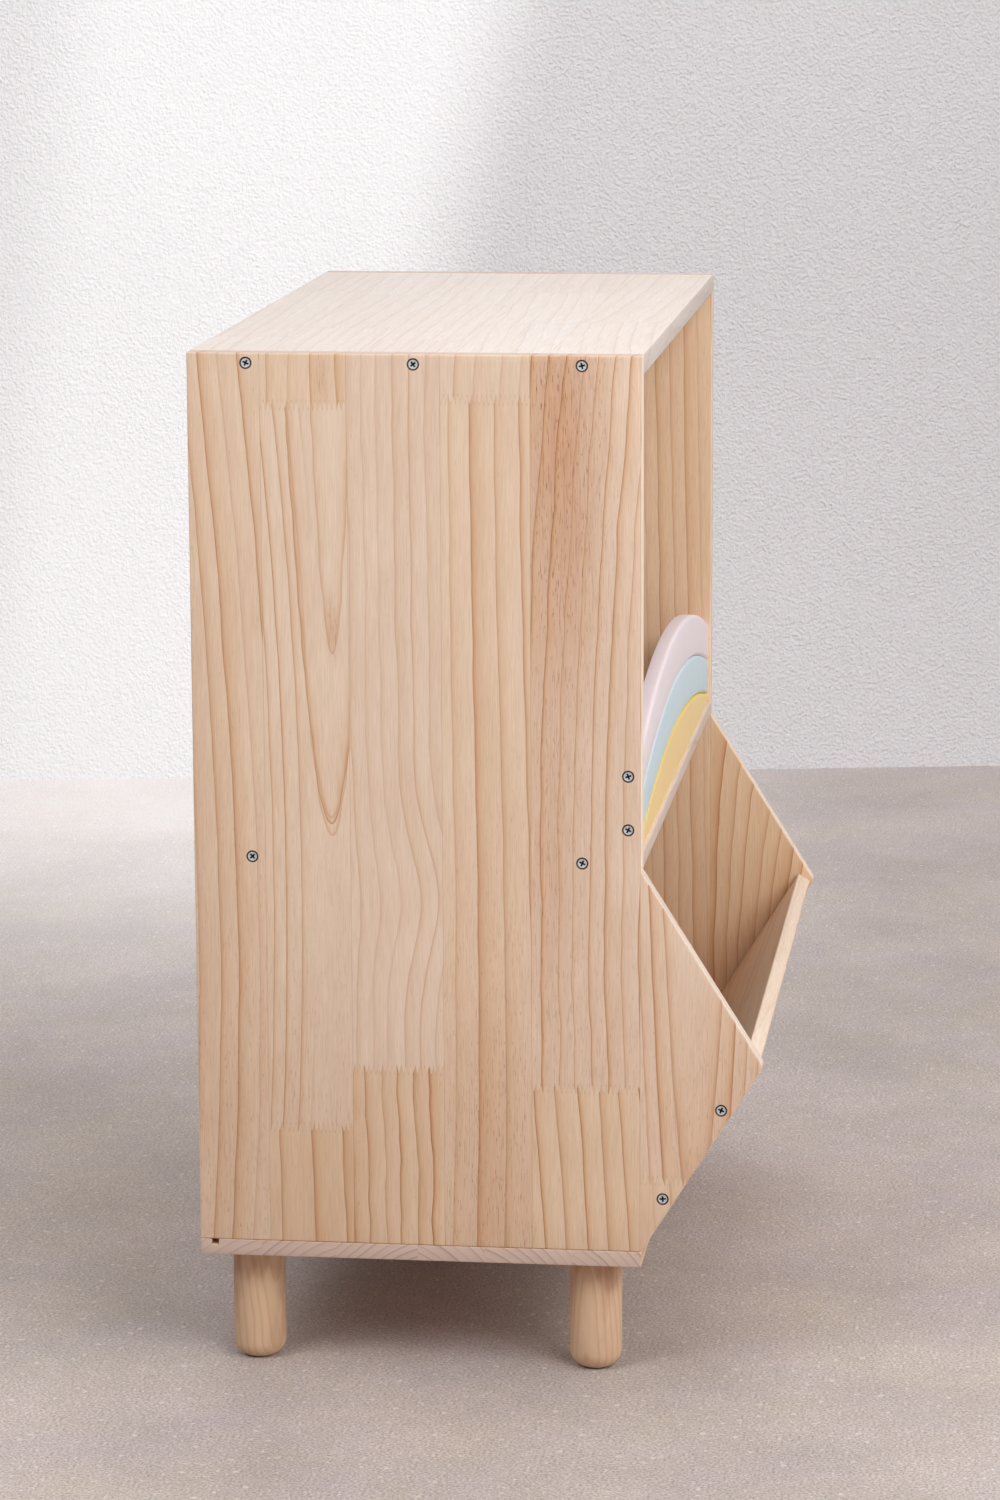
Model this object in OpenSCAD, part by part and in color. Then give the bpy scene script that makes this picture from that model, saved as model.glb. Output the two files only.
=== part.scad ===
// Low storage cabinet for a child's room: an open compartment behind a rainbow board,
// and a tilted toy bin below it whose sides swell forward into a nose.
// Frame: Z up, Z = 0 on the floor, X = 0 on the middle of the width, Y = 0 on the middle
// of the overall depth. The open front faces -Y. All sizes are in millimetres.

/* [Body] */
// Width over both side panels
body_w = 660; // [580:5:740]
// Depth of the side panels without the nose
body_d = 335; // [300:5:380]
// Height of the side panels, which stand on the base board
side_h = 673; // [600:1:750]
// Thickness of the side panels
side_t = 15; // [12:0.5:20]
// Thickness of the top
top_t = 15; // [12:0.5:20]
// Thickness of the base board
base_t = 12; // [11.5:0.5:16]
// Thickness of the shelf
shelf_t = 12; // [10:0.5:16]

/* [Nose and bin] */
// How far the nose would reach in front of the body if its tip were sharp
nose_out = 91; // [75:1:105]
// Height of the nose over the base board, up to the shelf's underside
nose_h = 291; // [260:1:320]
// Radius of the nose's tip
nose_tip_r = 6; // [3:0.5:9]
// Thickness of the bin's front panel
bin_t = 12; // [10:0.5:14]
// How far the bin's front panel lies behind the nose's edge
bin_setback = 2.5; // [1:0.5:4]
// How far the bin's front panel ends short of the tip, along the slant
bin_short = 2; // [1:0.5:6]

/* [Rainbow] */
// Thickness of the three arches
arch_t = 12; // [9:0.5:14]
// How far the arches stand behind the front of the body
arch_setback = 2.5; // [0.5:0.5:5]
// Rounding of the arches' front edges
arch_edge_r = 3; // [1:0.5:4]
// Height of the outer arch's crown over the shelf
outer_crown = 112; // [105:1:125]
// Height of the middle arch's crown over the shelf
middle_crown = 75.5; // [70:0.5:80]
// Height of the inner arch's crown over the shelf
inner_crown = 39; // [37:0.5:44]
// Radius of the outer arch's upper edge
outer_r = 1150; // [1050:10:1300]
// Radius of the middle arch's upper edge
middle_r = 1300; // [1200:10:1450]
// Radius of the inner arch's upper edge
inner_r = 1560; // [1500:10:1800]

/* [Back panel] */
// Thickness of the plywood back panel
back_t = 5; // [3:0.5:5]
// Width of the groove that holds the back panel
groove_w = 5.5; // [5.3:0.1:7]
// Depth of the groove
groove_deep = 4.5; // [3:0.5:6]
// Distance of the groove from the back edges of the boards
groove_inset = 8.3; // [6:0.1:15]

/* [Legs] */
// Diameter of the turned legs
leg_d = 40; // [34:1:46]
// Height of the legs
leg_h = 90; // [70:1:120]
// Rounding of the legs' lower edge
leg_edge_r = 13; // [5:0.5:15]
// Distance of the leg centres from the outer faces of the side panels
leg_side_inset = 40; // [36:1:60]
// Distance of the leg centres from the front and back of the body
leg_end_inset = 38; // [25:1:60]
// Diameter of the bolt that holds a leg
bolt_d = 8; // [6:0.5:10]
// Depth of the bolt in the leg
bolt_deep = 35; // [25:1:50]
// Outer diameter of the threaded insert in the base board
insert_d = 12; // [11:0.5:16]
// Length of the threaded insert
insert_l = 10; // [8:0.5:10.5]

/* [Screws] */
// Length of the screws
screw_l = 40; // [35:1:50]
// Diameter of the screws
screw_d = 4; // [3.5:0.1:4.5]
// Diameter of the screw heads
head_d = 8; // [7:0.1:9]
// Width of the cross recess
cross_w = 4.5; // [3.5:0.1:5.5]
// Distance of the first and last screw from the front and back edges
screw_end_inset = 44; // [30:1:60]
// Distance of the arch screws from the front of the body
arch_screw_y = 10; // [8:0.5:11]
// Drop of the outer arch's screw below the arch's end
outer_screw_drop = 8; // [6:0.5:14]
// Drop of the middle arch's screw below the arch's end
middle_screw_drop = 17; // [12:0.5:20]
// Distance of the lower bin screw from the slant's lower end
bin_screw_low = 44; // [30:1:60]
// Distance of the upper bin screw from the slant's lower end
bin_screw_high = 126; // [100:1:145]

/* [Hidden] */

// Fits
glue_gap = 0.3;        // between neighbouring arches
hole_play = 0.1;       // round a screw, a bolt or an insert
panel_play = 0.25;     // between the back panel and the groove's faces and ends
head_sunk = 0.3;       // screw heads below the surface
head_rim = 0.2;        // straight rim of a screw head
tip_l = 6;             // pointed end of a screw
cross_t = 1.1;         // width of one arm of the cross recess
cross_deep = 2;        // depth of the cross recess
cut_over = 1;          // how far a cutter reaches past the face that it opens
insert_chamfer = 0.8;  // on the threaded insert's mouth
bolt_chamfer = 1;      // on both ends of the leg bolt

// Sides of the round surfaces
fine_sides = 64;
arch_sides = 720;
edge_steps = 6;

// Colours
pine = [0.86, 0.74, 0.62];
pale_pine = [0.93, 0.86, 0.79];
leg_pine = [0.79, 0.65, 0.51];
plywood = [0.80, 0.66, 0.52];
pink = [0.87, 0.79, 0.80];
mint = [0.76, 0.83, 0.83];
yellow = [0.93, 0.79, 0.54];
zinc = [0.74, 0.74, 0.76];

// The nose and its slant, seen from the side
nose_mid_h = nose_h / 2;
nose_half_angle = atan(nose_mid_h / nose_out);
slant_len = norm([nose_out, nose_mid_h]);
slant_lean = 90 - nose_half_angle;
tip_centre_y = -nose_out + nose_tip_r / sin(nose_half_angle);
tip_tangent = nose_tip_r / tan(nose_half_angle);
nose_reach = nose_tip_r - tip_centre_y;

// Places in the row's frame
overall_d = body_d + nose_reach;
front_y = nose_reach - overall_d / 2;
base_top = leg_h + base_t;

// Inner sizes of the body
inner_w = body_w - 2 * side_t;
shelf_top = nose_h + shelf_t;
groove_y = body_d - groove_inset - groove_w;
back_y = groove_y + (groove_w - back_t) / 2;
groove_top = side_h - top_t + groove_deep;

// Legs stand at the four corners, mirrored in X
leg_x = body_w / 2 - leg_side_inset;
leg_ys = [leg_end_inset, body_d - leg_end_inset];

// Screw rows: each entry is [y, z] on a side panel's outer face
screw_ends = [screw_end_inset, body_d - screw_end_inset];
screw_thirds = [screw_ends[0], body_d / 2, screw_ends[1]];
top_screws = [for (y = screw_thirds) [y, side_h - top_t / 2]];
shelf_screws = [for (y = screw_ends) [y, nose_h + shelf_t / 2]];
rainbow_screws = [
    [arch_screw_y, shelf_top + arch_end(outer_crown, outer_r) - outer_screw_drop],
    [arch_screw_y, shelf_top + arch_end(middle_crown, middle_r) - middle_screw_drop],
];
bin_screws = [
    for (s = [bin_screw_low, bin_screw_high]) on_slant(s, bin_setback + bin_t / 2)
];
side_screws = concat(top_screws, shelf_screws, rainbow_screws, bin_screws);

// Height of an arch's upper edge where it meets the side panels
function arch_end(crown, r) = crown - r + sqrt(r * r - inner_w * inner_w / 4);

// A point [y, z] at a distance s along the nose's lower slant and d behind it
function on_slant(s, d) = [
    d * cos(slant_lean) - s * sin(slant_lean),
    s * cos(slant_lean) + d * sin(slant_lean),
];

// Moves to the body's corner: y from its front plane, z from the base board's top
module in_body() {
    translate([0, front_y, base_top]) children();
}

// Stands a drawing of [y, z] up and gives it a length in X, from x to x + length
module along_x(x, length) {
    translate([x, 0, 0]) rotate([90, 0, 90]) linear_extrude(length) children();
}

// A side panel's outline: a sharp nose, less what lies outside its rounded tip
module side_outline() {
    tangent_y = -nose_out + tip_tangent * cos(nose_half_angle);
    tangent_drop = tip_tangent * sin(nose_half_angle);
    difference() {
        polygon([
            [0, 0],
            [-nose_out, nose_mid_h],
            [0, nose_h],
            [0, side_h],
            [body_d, side_h],
            [body_d, 0],
        ]);
        difference() {
            translate([-nose_out - cut_over, nose_mid_h - tangent_drop])
                square([nose_out + cut_over + tangent_y, 2 * tangent_drop]);
            translate([tip_centre_y, nose_mid_h]) circle(nose_tip_r, $fn = fine_sides);
        }
    }
}

// A countersunk screw with its head's face on Z = 0 and its point up, along +Z
module screw() {
    shank_r = screw_d / 2;
    head_r = head_d / 2;
    neck_z = head_rim + head_r - shank_r;
    difference() {
        rotate_extrude($fn = fine_sides)
            polygon([
                [0, 0],
                [head_r, 0],
                [head_r, head_rim],
                [shank_r, neck_z],
                [shank_r, screw_l - tip_l],
                [0, screw_l],
            ]);
        intersection() {
            translate([0, 0, -cut_over])
                cylinder(r1 = cross_w / 2 + cut_over / 2, r2 = cross_t / 2,
                         h = cross_deep + cut_over, $fn = fine_sides);
            union() {
                for (turn = [0, 90])
                    rotate(turn) translate([-cross_w, -cross_t / 2, -cut_over])
                        cube([2 * cross_w, cross_t, cross_deep + 2 * cut_over]);
            }
        }
    }
}

// The hole that a screw needs, with its countersink's mouth on Z = 0
module screw_hole() {
    sink_r = head_d / 2 + head_sunk + head_rim + hole_play;
    hole_r = screw_d / 2 + hole_play;
    translate([0, 0, -cut_over])
        cylinder(r = hole_r, h = head_sunk + screw_l + hole_play + cut_over, $fn = fine_sides);
    translate([0, 0, -cut_over]) cylinder(r = sink_r, h = cut_over, $fn = fine_sides);
    cylinder(r1 = sink_r, r2 = hole_r, h = sink_r - hole_r, $fn = fine_sides);
}

// Places its child on the left panel's outer face at each point, pointing inwards.
// Every place is turned by its own angle, as driven screws are.
module at_left_face(points, first_turn = 0) {
    for (i = [0 : len(points) - 1])
        in_body() translate([-body_w / 2, points[i][0], points[i][1]])
            rotate([0, 90, 0]) rotate(first_turn + 53 * i) children();
}

// Places its child under the base board, below the left side panel, pointing up
module at_left_base() {
    for (i = [0 : len(screw_thirds) - 1])
        in_body() translate([side_t / 2 - body_w / 2, screw_thirds[i], -base_t])
            rotate(20 + 53 * i) children();
}

// A row of screws in the left side panel
module left_screws(points, first_turn) {
    color(zinc) at_left_face(points, first_turn) translate([0, 0, head_sunk]) screw();
}

module on_right() {
    mirror([1, 0, 0]) children();
}

module both_sides() {
    children();
    on_right() children();
}

// The groove for the back panel: along the base, up both sides and along the top
module groove_box() {
    in_body() translate([-inner_w / 2 - groove_deep, groove_y, -groove_deep])
        cube([inner_w + 2 * groove_deep, groove_w, groove_top + groove_deep]);
}

module left_side_panel() {
    color(pine) difference() {
        in_body() along_x(-body_w / 2, side_t) side_outline();
        groove_box();
        at_left_face(side_screws) screw_hole();
        at_left_base() screw_hole();
    }
}

module right_side_panel() {
    on_right() left_side_panel();
}

module top_panel() {
    color(pale_pine) difference() {
        in_body() translate([-inner_w / 2, 0, side_h - top_t]) cube([inner_w, body_d, top_t]);
        groove_box();
        both_sides() at_left_face(top_screws) screw_hole();
    }
}

// The board that everything stands on; its groove shows at both ends
module base_panel() {
    color(pine) difference() {
        in_body() translate([-body_w / 2, 0, -base_t]) cube([body_w, body_d, base_t]);
        in_body() translate([-body_w / 2 - cut_over, groove_y, -groove_deep])
            cube([body_w + 2 * cut_over, groove_w, groove_deep + cut_over]);
        both_sides() at_left_base() screw_hole();
        at_legs() translate([0, 0, leg_h - cut_over])
            cylinder(d = insert_d + 2 * hole_play, h = insert_l + cut_over, $fn = fine_sides);
    }
}

module shelf() {
    color(pine) difference() {
        in_body() translate([-inner_w / 2, 0, nose_h]) cube([inner_w, groove_y, shelf_t]);
        both_sides() at_left_face(shelf_screws) screw_hole();
    }
}

// Stands on the floor of the base board's groove
module back_panel() {
    panel_w = inner_w + 2 * (groove_deep - panel_play);
    panel_h = groove_top + groove_deep - panel_play;
    color(plywood) in_body() translate([-panel_w / 2, back_y, -groove_deep])
        cube([panel_w, back_t, panel_h]);
}

// Leans forward between the two noses, with its lower edge cut flat on the base board
module bin_front_panel() {
    outer = bin_setback;
    inner = bin_setback + bin_t;
    upper = slant_len - bin_short;
    color(pine) difference() {
        in_body() along_x(-inner_w / 2, inner_w)
            polygon([
                [outer / cos(slant_lean), 0],
                on_slant(upper, outer),
                on_slant(upper, inner),
                [inner / cos(slant_lean), 0],
            ]);
        both_sides() at_left_face(bin_screws) screw_hole();
    }
}

// Points along a quarter circle of the arches' edge rounding, turning by a signed 90 degrees
function edge_arc(centre, from, turn) = [
    for (i = [0 : edge_steps])
        let (angle = from + turn * i / edge_steps)
            centre + arch_edge_r * [cos(angle), sin(angle)]
];

// A round blank as thick as the arches, lying on its face, its front edge rounded
module arch_blank(r) {
    edge_centre = [r - arch_edge_r, arch_t - arch_edge_r];
    rotate_extrude($fn = arch_sides)
        polygon(concat([[0, 0], [r, 0]], edge_arc(edge_centre, 0, 90), [[0, arch_t]]));
}

// The space inside a round blank's opening, whose front edge is rounded too
module arch_hollow(r) {
    edge_centre = [r + arch_edge_r, arch_t - arch_edge_r];
    rotate_extrude($fn = arch_sides)
        polygon(concat(
            [[0, -cut_over], [r, -cut_over]],
            edge_arc(edge_centre, 180, -90),
            [[r + arch_edge_r, arch_t + cut_over], [0, arch_t + cut_over]]
        ));
}

// Stands its child up behind the front plane, with the crown at a height over the shelf
module at_crown(crown, r) {
    in_body() translate([0, arch_setback + arch_t, shelf_top + crown - r])
        rotate([90, 0, 0]) children();
}

// The room between the side panels, above the shelf and around the rainbow
module rainbow_room() {
    in_body() translate([-inner_w / 2, 0, shelf_top])
        cube([inner_w, arch_setback + arch_t + cut_over, outer_crown + cut_over]);
}

module rainbow_outer_arch() {
    color(pink) difference() {
        intersection() {
            at_crown(outer_crown, outer_r) arch_blank(outer_r);
            rainbow_room();
        }
        at_crown(middle_crown, middle_r) arch_hollow(middle_r);
        both_sides() at_left_face(rainbow_screws) screw_hole();
    }
}

module rainbow_middle_arch() {
    blank_r = middle_r - glue_gap;
    color(mint) difference() {
        intersection() {
            at_crown(middle_crown - glue_gap, blank_r) arch_blank(blank_r);
            rainbow_room();
        }
        at_crown(inner_crown, inner_r) arch_hollow(inner_r);
        both_sides() at_left_face(rainbow_screws) screw_hole();
    }
}

module rainbow_inner_arch() {
    blank_r = inner_r - glue_gap;
    color(yellow) intersection() {
        at_crown(inner_crown - glue_gap, blank_r) arch_blank(blank_r);
        rainbow_room();
    }
}

// Places its child on the floor under each leg's place, in one row and on one side
module at_leg(side, row) {
    translate([side * leg_x, front_y + leg_ys[row], 0]) children();
}

module at_legs() {
    for (side = [-1, 1], row = [0, 1]) at_leg(side, row) children();
}

// A turned leg with a rounded lower edge and a bolt hole in its top
module leg() {
    leg_r = leg_d / 2;
    hole_l = bolt_deep + hole_play;
    color(leg_pine) difference() {
        rotate_extrude($fn = fine_sides) {
            square([leg_r - leg_edge_r, leg_h]);
            translate([0, leg_edge_r]) square([leg_r, leg_h - leg_edge_r]);
            intersection() {
                translate([leg_r - leg_edge_r, leg_edge_r])
                    circle(leg_edge_r, $fn = fine_sides);
                square([leg_r, leg_h]);
            }
        }
        translate([0, 0, leg_h - hole_l])
            cylinder(d = bolt_d + 2 * hole_play, h = hole_l + cut_over, $fn = fine_sides);
    }
}

module front_left_leg() { at_leg(-1, 0) leg(); }
module front_right_leg() { at_leg(1, 0) leg(); }
module back_left_leg() { at_leg(-1, 1) leg(); }
module back_right_leg() { at_leg(1, 1) leg(); }

// A stud that stands in the leg and is screwed up into the insert
module leg_bolts() {
    bolt_r = bolt_d / 2;
    bolt_l = bolt_deep + insert_l;
    color(zinc) at_legs() translate([0, 0, leg_h - bolt_deep])
        rotate_extrude($fn = fine_sides)
            polygon([
                [0, 0],
                [bolt_r - bolt_chamfer, 0],
                [bolt_r, bolt_chamfer],
                [bolt_r, bolt_l - bolt_chamfer],
                [bolt_r - bolt_chamfer, bolt_l],
                [0, bolt_l],
            ]);
}

// A threaded sleeve in the base board's underside
module leg_inserts() {
    outer_r = insert_d / 2;
    bore_r = bolt_d / 2 + hole_play;
    color(zinc) at_legs() translate([0, 0, leg_h])
        rotate_extrude($fn = fine_sides)
            polygon([
                [bore_r + insert_chamfer, 0],
                [outer_r, 0],
                [outer_r, insert_l],
                [bore_r, insert_l],
                [bore_r, insert_chamfer],
            ]);
}

module left_top_screws() { left_screws(top_screws, 12); }
module right_top_screws() { on_right() left_screws(top_screws, 41); }
module left_shelf_screws() { left_screws(shelf_screws, 28); }
module right_shelf_screws() { on_right() left_screws(shelf_screws, 67); }
module left_rainbow_screws() { left_screws(rainbow_screws, 5); }
module right_rainbow_screws() { on_right() left_screws(rainbow_screws, 33); }
module left_bin_screws() { left_screws(bin_screws, 51); }
module right_bin_screws() { on_right() left_screws(bin_screws, 18); }

module left_base_screws() {
    color(zinc) at_left_base() translate([0, 0, head_sunk]) screw();
}

module right_base_screws() {
    on_right() left_base_screws();
}

left_side_panel();
right_side_panel();
top_panel();
base_panel();
shelf();
back_panel();
bin_front_panel();
rainbow_outer_arch();
rainbow_middle_arch();
rainbow_inner_arch();
front_left_leg();
front_right_leg();
back_left_leg();
back_right_leg();
leg_bolts();
leg_inserts();
left_top_screws();
right_top_screws();
left_shelf_screws();
right_shelf_screws();
left_rainbow_screws();
right_rainbow_screws();
left_bin_screws();
right_bin_screws();
left_base_screws();
right_base_screws();
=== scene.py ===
import math
import random
from typing import NamedTuple

import bmesh
import bpy
from mathutils import Matrix, Vector


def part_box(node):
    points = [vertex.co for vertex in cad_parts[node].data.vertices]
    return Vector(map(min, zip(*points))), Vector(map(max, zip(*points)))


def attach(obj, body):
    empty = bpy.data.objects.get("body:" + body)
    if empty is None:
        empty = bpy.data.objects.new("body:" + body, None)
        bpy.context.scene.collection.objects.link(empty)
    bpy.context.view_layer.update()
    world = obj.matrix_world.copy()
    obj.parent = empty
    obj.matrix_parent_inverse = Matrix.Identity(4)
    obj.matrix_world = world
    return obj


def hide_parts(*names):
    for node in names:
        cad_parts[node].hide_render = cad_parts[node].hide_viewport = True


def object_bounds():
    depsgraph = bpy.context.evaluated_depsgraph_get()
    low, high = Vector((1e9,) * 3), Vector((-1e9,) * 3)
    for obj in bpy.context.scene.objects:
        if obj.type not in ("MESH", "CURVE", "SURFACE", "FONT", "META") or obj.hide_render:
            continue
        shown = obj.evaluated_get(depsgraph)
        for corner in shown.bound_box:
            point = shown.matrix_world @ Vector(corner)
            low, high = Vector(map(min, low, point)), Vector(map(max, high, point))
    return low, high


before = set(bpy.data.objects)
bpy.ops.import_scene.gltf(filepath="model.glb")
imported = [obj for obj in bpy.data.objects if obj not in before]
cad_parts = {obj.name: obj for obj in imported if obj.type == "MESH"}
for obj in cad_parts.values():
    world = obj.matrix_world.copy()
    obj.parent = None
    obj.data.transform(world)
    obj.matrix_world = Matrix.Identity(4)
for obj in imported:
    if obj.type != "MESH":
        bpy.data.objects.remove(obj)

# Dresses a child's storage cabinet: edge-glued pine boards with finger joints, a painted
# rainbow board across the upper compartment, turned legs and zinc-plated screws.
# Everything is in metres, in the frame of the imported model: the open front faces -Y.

bl_info = {
    "name": "Rainbow storage cabinet",
    "version": (1, 0, 0),
    "blender": (4, 5, 0),
    "location": "View3D > Sidebar > Cabinet",
    "description": "Builds a pine storage cabinet with a rainbow board and a tilted toy bin",
    "category": "Add Mesh",
}

MM = 0.001

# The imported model's own measures, read once from its boxes
cad_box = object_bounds()
left_low, left_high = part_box("left_side_panel")
base_low, base_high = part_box("base_panel")
top_low, top_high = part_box("top_panel")
shelf_low, shelf_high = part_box("shelf")
back_low, back_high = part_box("back_panel")
bin_low, bin_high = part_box("bin_front_panel")
screw_low, screw_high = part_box("left_shelf_screws")

FRONT_Y = base_low.y
BACK_Y = base_high.y
BASE_TOP = base_high.z
HALF_W = base_high.x
HALF_IN = HALF_W - (left_high.x - left_low.x)
BODY_D = BACK_Y - FRONT_Y
SIDE_H = left_high.z - left_low.z
NOSE_H = shelf_low.z - BASE_TOP
TIP_Y = left_low.y - FRONT_Y
BOARD_T = shelf_high.z - shelf_low.z

# Clearances and small forms
TOLERANCE = 0.01 * MM
HOLE_PLAY = 0.1 * MM
MOUTH_PLAY = 0.3 * MM
SINK_DEPTH = 12 * MM
ARCH_GAP = 0.3 * MM
ARCH_BACK_ROUND = 0.8 * MM
ARCH_STEPS = 120
BACK_ROUND = 0.4 * MM
LEG_RIM = 0.6 * MM
LEG_SIDES = 96
LEG_PITH = 34 * MM   # from a leg's middle to the pith of its log
SCREW_SIDES = 48
SCREW_TIP = 6 * MM
SCREW_ROWS = ("top", "shelf", "rainbow", "bin", "base")


# Sizes and colours that a user would change

def length_property(name, description, default, low, high):
    """A length that the user can change, in millimetres."""
    return bpy.props.FloatProperty(
        name=name, description=description, default=default * MM, min=low * MM, max=high * MM,
        unit="LENGTH")


class CabinetSizes(bpy.types.PropertyGroup):
    """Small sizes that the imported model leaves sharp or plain."""
    board_round: length_property("Board edges", "Rounding of the boards' edges", 1.3, 0.2, 3)
    arch_round: length_property("Arch edges", "Rounding of the rainbow's front edges", 3, 0.5, 5)
    leg_round: length_property("Leg edges", "Rounding of the legs' lower edges", 13, 2, 18)
    tip_round: length_property(
        "Nose tip", "Radius of the nose's tip on the side panels", 6, 2, 12)
    groove_depth: length_property(
        "Groove depth", "Depth of the groove that holds the back panel", 4.5, 2, 6)
    groove_width: length_property(
        "Groove width", "Width of the groove that holds the back panel", 5.5, 3, 8)
    bin_setback: length_property(
        "Bin setback", "How far the bin's front lies behind the nose's edge", 2.5, 0, 6)
    head_width: length_property(
        "Screw head", "Diameter of the screws' heads", (screw_high.z - screw_low.z) / MM, 5, 12)
    shank_width: length_property("Screw shank", "Diameter of the screws' shanks", 4, 2, 6)
    recess_width: length_property("Cross recess", "Width of the screws' cross recess", 5, 2, 7)
    head_sunk: length_property(
        "Head depth", "How far the screws' heads lie below the wood", 0.3, 0, 1)


def from_srgb(red, green, blue):
    """A colour as it looks in a picture, 0 to 255, as a linear colour."""
    def linear(value):
        value /= 255
        return value / 12.92 if value <= 0.04045 else ((value + 0.055) / 1.055) ** 2.4
    return (linear(red), linear(green), linear(blue))


def colour_property(name, description, *default):
    """A colour that the user can pick."""
    return bpy.props.FloatVectorProperty(
        name=name, description=description, subtype="COLOR", size=3, min=0, max=1,
        default=from_srgb(*default))


class CabinetColours(bpy.types.PropertyGroup):
    """Colours of the wood, the paints, the metal and the room."""
    early_wood: colour_property(
        "Pink wood", "The pale part of each ring, in the pinker pieces", 235, 212, 195)
    warm_wood: colour_property(
        "Yellow wood", "The pale part of each ring, in the yellower pieces", 238, 213, 184)
    broad_wood: colour_property(
        "Ring shading", "The wood that darkens towards each ring's line", 221, 177, 131)
    late_wood: colour_property("Ring lines", "The dark end of each ring", 180, 112, 61)
    heart_wood: colour_property("Heartwood", "The reddest wood in a stave", 206, 156, 122)
    # Painted shade: a warm darkening, in place of the warm bounced light inside the compartments
    compartment_shade_tint: colour_property(
        "Amber tint", "The tint of boards with much resin", 255, 239, 222)
    # Pale grey-white for the top board and the shelf: pale wood, partly a painted sheen of light
    pale_and_sheen_wood: colour_property("Top board", "The pale stock of the top board", 216, 212, 211)
    end_wood: colour_property(
        "End grain", "Where a board's fibres are cut across", 203, 177, 163)
    ply_wood: colour_property("Back panel", "The veneer of the back panel", 214, 180, 146)
    leg_wood: colour_property("Legs", "The turned legs", 218, 184, 152)
    pink: colour_property("Pink", "The rainbow's outer arch", 247, 233, 237)
    blue: colour_property("Blue", "The rainbow's middle arch", 211, 230, 237)
    yellow: colour_property("Yellow", "The rainbow's inner arch", 251, 216, 146)
    yellow_rim: colour_property(
        "Yellow rim", "The denser paint on the yellow arch's edges", 252, 218, 84)
    zinc: colour_property("Zinc", "The screws' plating", 214, 216, 219)
    # Painted shade: the dark zinc of the screws' recesses and rims
    shaded_zinc: colour_property("Recesses", "The screws' recesses and rims", 34, 33, 35)
    floor: colour_property("Floor", "The floor of the room", 191, 179, 173)
    wall: colour_property("Wall", "The wall behind the cabinet", 229, 227, 230)


# Marks, small stains, painted highlights and painted shade, in colours that stay as they are
RED_LATE_WOOD = from_srgb(160, 94, 62)
RESIN = from_srgb(150, 82, 48)
# Painted highlight on the boards' cut edges
EDGE_HIGHLIGHT = from_srgb(250, 238, 225)
GLUE_LINE = from_srgb(176, 132, 94)
FINGER_GLUE = from_srgb(168, 120, 84)
# Painted shade in the countersinks around the screws' heads
SINK_SHADE_PALE = from_srgb(92, 72, 58)
SINK_SHADE_DARK = from_srgb(52, 42, 36)
# Wear on the legs, and painted shade under the base board
WORN_AND_SHADED_WOOD = from_srgb(176, 128, 98)
FLOOR_PITS = from_srgb(126, 114, 106)
FLOOR_GRIT = from_srgb(228, 220, 212)


# Meshes

def new_piece(name, mesh, replaced, slot, *materials):
    """Adds a mesh as a piece that rides on the body and stands for one CAD node."""
    for material in materials:
        mesh.materials.append(material)
    piece = bpy.data.objects.new(name, mesh)
    bpy.context.scene.collection.objects.link(piece)
    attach(piece, "root")
    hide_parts(replaced)


def plain_mesh(shape, name):
    """Turns a bmesh into a mesh."""
    mesh = bpy.data.meshes.new(name)
    shape.to_mesh(mesh)
    shape.free()
    return mesh


def smoothed(mesh, degrees=35):
    """The mesh with smooth shading, its edges sharper than the angle kept hard."""
    shape = bmesh.new()
    shape.from_mesh(mesh)
    for face in shape.faces:
        face.smooth = True
    for edge in shape.edges:
        edge.smooth = edge.is_manifold and edge.calc_face_angle() < math.radians(degrees)
    shape.to_mesh(mesh)
    shape.free()
    return mesh


def finished_mesh(shape, name):
    """Turns a bmesh into a mesh with smooth shading on its round faces."""
    return smoothed(plain_mesh(shape, name))


def band(first, second):
    """The four-sided faces between two rings of as many points."""
    return zip(first, first[1:] + first[:1], second[1:] + second[:1], second)


def skin(shape, rows):
    """Closes the side between rings of points, and the first and last ring with a face."""
    for first, second in zip(rows, rows[1:]):
        for four in band(first, second):
            shape.faces.new(four)
    shape.faces.new(list(reversed(rows[0])))
    shape.faces.new(rows[-1])
    bmesh.ops.recalc_face_normals(shape, faces=shape.faces)


def prism(outline, low_x, high_x, rounding):
    """A board whose outline in [y, z] runs along X, with its outer edges rounded."""
    shape = bmesh.new()
    near = [shape.verts.new((low_x, y, z)) for y, z in outline]
    far = [shape.verts.new((high_x, y, z)) for y, z in outline]
    shape.faces.new(near)
    shape.faces.new(list(reversed(far)))
    for a, b, c, d in band(near, far):
        shape.faces.new((b, a, d, c))
    bmesh.ops.recalc_face_normals(shape, faces=shape.faces)
    rounded = [edge for edge in shape.edges
               if edge.is_convex and edge.calc_face_angle() > math.radians(15)]
    bmesh.ops.bevel(shape, geom=rounded, offset=rounding, segments=3, profile=0.5,
                    affect="EDGES", clamp_overlap=True)
    return shape


def plain_board(name, low, high, rounding):
    """A board as wide as its box, with rounded edges."""
    outline = [(low.y, low.z), (high.y, low.z), (high.y, high.z), (low.y, high.z)]
    return finished_mesh(prism(outline, low.x, high.x, rounding), name)


def corner(centre, radius, start, turn, steps=5):
    """Points along a round corner in a section, from a start angle through a turn."""
    return [(centre[0] + radius * math.cos(start + turn * i / steps),
             centre[1] + radius * math.sin(start + turn * i / steps)) for i in range(steps + 1)]


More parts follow.
